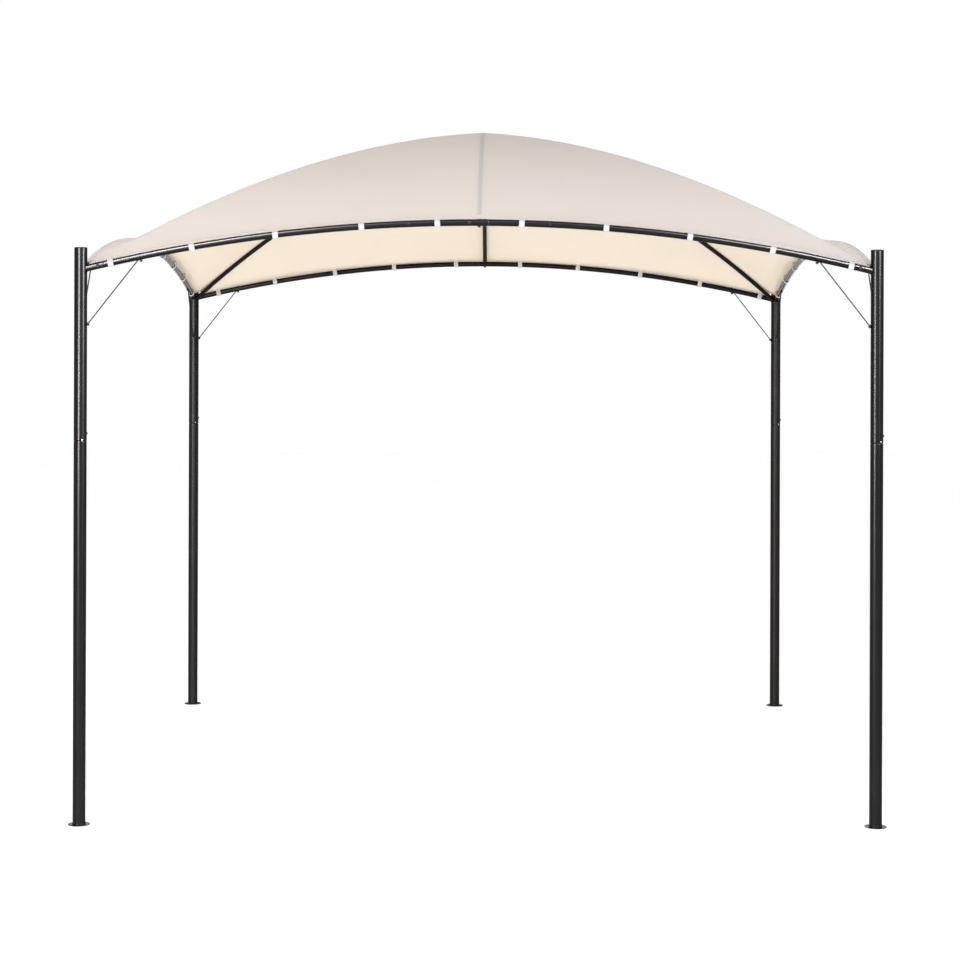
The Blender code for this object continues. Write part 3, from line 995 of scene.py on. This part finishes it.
def strap_outline(slack, hem_outside, hem_inside):
    """One strap's loop across the beam, which is at 0, 0: out is away from the gazebo.

    It is sewn under the hem, whose underside is at the heights given, outside and inside.
    """
    near = BEAM_RADIUS + 0.0007
    return [
        (-0.0040, hem_outside - 0.0007),
        (0.0012, near + 0.0004),
        (0.0056, near * 0.91),
        (0.0095, near * 0.70),
        (near, 0.0035),
        (near * 0.96, -0.005),
        (0.0074, -near * 0.84 - slack * 0.6),
        (0.0, -near - slack),
        (-0.0074, -near * 0.84 - slack * 0.6),
        (-near * 0.96, -0.005),
        (-near - 0.0003, 0.0035),
        (-0.0128, 0.0095),
        (-0.0132, hem_inside - 0.0009),
    ]


def make_straps(side, turn, material):
    """Ten white loops that tie the hem to a beam."""
    shape = Shape()
    rotation = Matrix.Rotation(turn, 4, "Z")
    outward = Vector((0.0, -1.0, 0.0))
    for index, along in enumerate(STRAP_PLACES[side]):
        slope = -2 * beam_drop * along
        slack = 0.0020 + 0.0011 * math.sin(2.7 * index + 3.1 * turn)
        tilt = 0.04 * math.sin(4.1 * index + 1.7 * turn)
        across = Vector((1.0, 0.0, slope)).normalized()
        up = Vector((-slope, 0.0, 1.0)).normalized()
        centre = Vector((along, -HALF_SPAN, beam_axis_height(along)))
        heights = []
        for out in (-0.0040, -0.0132):
            spot = rotation @ Vector((along, -HALF_SPAN - out, 0.0))
            heights.append(canopy_top(spot.x, spot.y) - FABRIC_THICKNESS - centre.z)
        path = [Vector((out, height, 0.0)) for out, height in strap_outline(slack, *heights)]
        path = smooth_path(path, 4)
        points = []
        normals = []
        for k, spot in enumerate(path):
            ahead = path[min(k + 1, len(path) - 1)] - path[max(k - 1, 0)]
            normal = Vector((ahead.y, -ahead.x, 0.0)).normalized()
            shift = across * (tilt * spot.y)
            points.append(centre + outward * spot.x + up * spot.y + shift)
            normals.append(outward * normal.x + up * normal.y)
        vertices, faces = ribbon(points, normals, across, STRAP_WIDTH, STRAP_THICKNESS)
        shape.add(vertices, faces, rotation)
    return shape.piece(f"{side}_straps", material, "canopy", crease=50)


def canopy_top(x, y):
    """Height of the fabric's outer face at one place."""
    return float(canopy_underside(np.array(x), np.array(y))) + FABRIC_THICKNESS


def make_hem(material, inside):
    """The doubled, sewn edge of the canopy, folded round to the underside."""
    shape = Shape()
    inner = FABRIC_EDGE - HEM_WIDTH
    outs = [inner + HEM_WIDTH * share for share in (0.0, 0.02, 0.25, 0.5, 0.75, 0.9, 1.0)]
    rises = [0.0] + [HEM_RISE] * 5 + [HEM_RISE * 0.7]
    steps = 144
    for turn in SIDE_TURNS.values():
        rotation = Matrix.Rotation(turn, 4, "Z")
        vertices = []
        for k in range(steps + 1):
            along = -NOTCH_INNER_EDGE + 2 * NOTCH_INNER_EDGE * k / steps
            spots = [rotation @ Vector((along, -out, 0.0)) for out in outs]
            tops = [canopy_top(spot.x, spot.y) for spot in spots]
            ring = [(out, top + rise) for out, top, rise in zip(outs, tops, rises)]
            ring.append((FABRIC_EDGE + 0.0008, tops[-1] - 0.0004))
            ring += [(out, top - FABRIC_THICKNESS - 0.0005)
                     for out, top in reversed(list(zip(outs, tops)))]
            vertices += [Vector((along, -out, height)) for out, height in ring]
            sides = len(ring)
        faces = []
        slots = []
        for ring in range(steps):
            for k in range(sides):
                a = ring * sides + k
                b = ring * sides + (k + 1) % sides
                faces.append((b, a, a + sides, b + sides))
                slots.append(1 if k > len(outs) else 0)
        last = steps * sides
        faces += [tuple(range(sides)), tuple(reversed(range(last, last + sides)))]
        shape.add(vertices, faces, rotation, slots + [0, 0])
    return shape.piece("canopy_hem", material, "canopy", crease=40, second=inside)


def seam_runs():
    """Direction in the plan, and where it starts and stops, of each seam over a rib or a rafter."""
    half = math.sqrt(0.5)
    runs = []
    for turn in SIDE_TURNS.values():
        rotation = Matrix.Rotation(turn, 3, "Z")
        runs.append((rotation @ Vector((0.0, -1.0, 0.0)), FABRIC_EDGE - HEM_WIDTH * 0.6))
        runs.append((rotation @ Vector((half, -half, 0.0)), NOTCH_INNER_EDGE / half - 0.004))
    return runs


def make_seams(material, hip_material):
    """Flat-felled seams over the ribs and rafters, and the round patch where they meet."""
    shape = Shape()
    start = PATCH_RADIUS - 0.01
    steps = 90
    for direction, stop in seam_runs():
        across = Vector((0.0, 0.0, 1.0)).cross(direction)
        outline = [(-0.5, -0.0004), (-0.47, SEAM_RISE), (0.0, SEAM_RISE), (0.47, SEAM_RISE),
                   (0.5, -0.0004)]
        vertices = []
        for k in range(steps + 1):
            at = direction * (start + (stop - start) * k / steps)
            for share, rise in outline:
                spot = at + across * (share * SEAM_WIDTH)
                spot.z = canopy_top(spot.x, spot.y) + rise
                vertices.append(spot)
        sides = len(outline)
        faces = []
        for ring in range(steps):
            for k in range(sides):
                a = ring * sides + k
                b = ring * sides + (k + 1) % sides
                faces.append((b, a, a + sides, b + sides))
        last = steps * sides
        faces += [tuple(range(sides)), tuple(reversed(range(last, last + sides)))]
        over_hip = abs(direction.x * direction.y) > 0.1
        shape.add(vertices, faces, slots=[1 if over_hip else 0] * len(faces))
    sides = 48
    radii = (0.012, 0.026, 0.04, PATCH_RADIUS - 0.0006, PATCH_RADIUS)
    vertices = [Vector((0.0, 0.0, canopy_top(0.0, 0.0) + 0.0014))]
    for radius in radii:
        for k in range(sides):
            angle = 2 * math.pi * k / sides
            x = radius * math.cos(angle)
            y = radius * math.sin(angle)
            rise = 0.0014 if radius < PATCH_RADIUS else -0.0004
            vertices.append(Vector((x, y, canopy_top(x, y) + rise)))
    faces = [(0, 1 + k, 1 + (k + 1) % sides) for k in range(sides)]
    for ring in range(len(radii) - 1):
        a = 1 + ring * sides
        b = a + sides
        faces += [(a + k, b + k, b + (k + 1) % sides, a + (k + 1) % sides) for k in range(sides)]
    rim = 1 + (len(radii) - 1) * sides
    faces.append(tuple(reversed(range(rim, rim + sides))))
    shape.add(vertices, faces)
    return shape.piece("canopy_seams", material, "canopy", crease=40, second=hip_material)


def add_stitch(shape, middle, along, across):
    """One lock stitch: a short raised ridge of thread."""
    up = along.cross(across).normalized()
    if up.z < 0:
        up = -up
    reach = along * (STITCH_LENGTH / 2)
    side = across * 0.0004
    rise = up * 0.0004
    sink = up * -0.0002
    low = [middle + reach * 1.0 + sink, middle + reach * 0.55 + side + sink,
           middle - reach * 0.55 + side + sink, middle - reach * 1.0 + sink,
           middle - reach * 0.55 - side + sink, middle + reach * 0.55 - side + sink]
    ridge = [middle + reach * 0.55 + rise, middle - reach * 0.55 + rise]
    faces = [(0, 1, 6), (1, 2, 7, 6), (2, 3, 7), (3, 4, 7), (4, 5, 6, 7), (5, 0, 6),
             (5, 4, 3, 2, 1, 0)]
    shape.add(low + ridge, faces)


def stitch_row(shape, start, stop, place):
    """Stitches from start to stop along a line, place giving the point at a distance."""
    count = int((stop - start) / STITCH_PITCH)
    for k in range(count):
        at = start + (k + 0.5) * STITCH_PITCH
        before = place(at - 0.002)
        after = place(at + 0.002)
        along = (after - before).normalized()
        across = Vector((along.y, -along.x, 0.0)).normalized()
        add_stitch(shape, place(at), along, across)


def make_stitches(material):
    """Two rows of stitches on each seam and along the hem."""
    shape = Shape()
    for direction, stop in seam_runs():
        across = Vector((0.0, 0.0, 1.0)).cross(direction)
        for offset in (-0.0042, 0.0042):
            def on_seam(at, direction=direction, across=across, offset=offset):
                spot = direction * at + across * offset
                spot.z = canopy_top(spot.x, spot.y) + SEAM_RISE
                return spot
            stitch_row(shape, PATCH_RADIUS, stop - 0.004, on_seam)
    for turn in SIDE_TURNS.values():
        rotation = Matrix.Rotation(turn, 3, "Z")
        for out in (FABRIC_EDGE - 0.005, FABRIC_EDGE - HEM_WIDTH + 0.004):
            def on_hem(at, rotation=rotation, out=out):
                spot = rotation @ Vector((at, -out, 0.0))
                spot.z = canopy_top(spot.x, spot.y) + HEM_RISE
                return spot
            stitch_row(shape, -NOTCH_INNER_EDGE, NOTCH_INNER_EDGE, on_hem)
    return shape.piece("canopy_stitches", material, "canopy", crease=80)


def dress_frame(materials):
    """New materials on the CAD nodes that stay. The back plates have worn matt."""
    for name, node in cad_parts.items():
        coat = "steel"
        if "plate" in name:
            coat = "cap" if "back" in name else "side_steel"
        for entry in node.material_slots:
            entry.material = materials[coat]


def build():
    materials = {
        "steel": powder_coat("charcoal_powder_coat", 0.28, (0.62, 0.59, 0.59)),
        "side_steel": powder_coat("charcoal_powder_coat_glossy", 0.20, (1.0, 0.97, 0.97)),
        "back_steel": powder_coat("charcoal_powder_coat_dull", 0.42, (0.66, 0.62, 0.56)),
        "cap": matt_black(),
        "wire": zinc_steel("dark_wire", (0.013, 0.013, 0.013), (0.022, 0.022, 0.022), 0.5),
        "bolt": zinc_steel("zinc_bolt", (0.30, 0.30, 0.31), (0.38, 0.38, 0.39), 0.34),
        "dark_bolt": zinc_steel("dark_bolt", (0.010, 0.010, 0.010), (0.017, 0.017, 0.017), 0.55),
        "webbing": webbing(),
        "thread": sewing_thread(),
    }
    outside = canopy_fabric("cream_polyester_outside", (0.626, 0.578, 0.539),
                            (0.656, 0.608, 0.569), (0.71, 0.655, 0.60), 0.28, painted_crown_shade=True)
    # Painted light: the inside is a brighter copy of the same cloth, standing in for the light on the
    # underside.
    inside = canopy_fabric("cream_polyester_inside_painted_bright", (0.825, 0.745, 0.628), (0.855, 0.775, 0.656),
                           (0.88, 0.80, 0.69), 0.33)
    set_up_camera()
    set_up_light()
    set_up_stage(floor_paint())
    dress_frame(materials)
    for corner, (x_sign, y_sign) in CORNERS.items():
        tube_steel = materials["back_steel" if y_sign > 0 else "steel"]
        make_post(corner, {**materials, "steel": tube_steel})
    make_foot_welds(materials["steel"])
    make_roof_tubes(materials["back_steel"])
    make_hub_details(materials)
    make_joint_screws(materials)
    for side, turn in SIDE_TURNS.items():
        make_beam(side, turn, materials[BEAM_COATS[side]])
        make_side_hardware(side, turn, materials)
        make_stays(side, turn, materials)
    canopy = make_canopy(outside, inside)
    # Seams over the ribs and the middle patch: the doubled cloth lets less light through, and its darker
    # colour is painted shade of the tubes beneath.
    rib_seam_shaded = canopy_fabric("cream_polyester_doubled_painted_shade", (0.455, 0.428, 0.404),
                                (0.485, 0.458, 0.434), (0.48, 0.44, 0.40), 0.12, painted_crown_shade=True)
    sewn = [make_hem(outside, inside), make_seams(rib_seam_shaded, outside),
            make_stitches(materials["thread"])]
    sewn += [make_straps(side, turn, materials["webbing"]) for side, turn in SIDE_TURNS.items()]
    tubes = [f"{side}_{part}" for side in SIDE_TURNS for part in ("rib", "beam_near_half",
                                                                 "beam_far_half")]
    tubes += [f"hip_rafter_{corner}" for corner in CORNERS]


build()
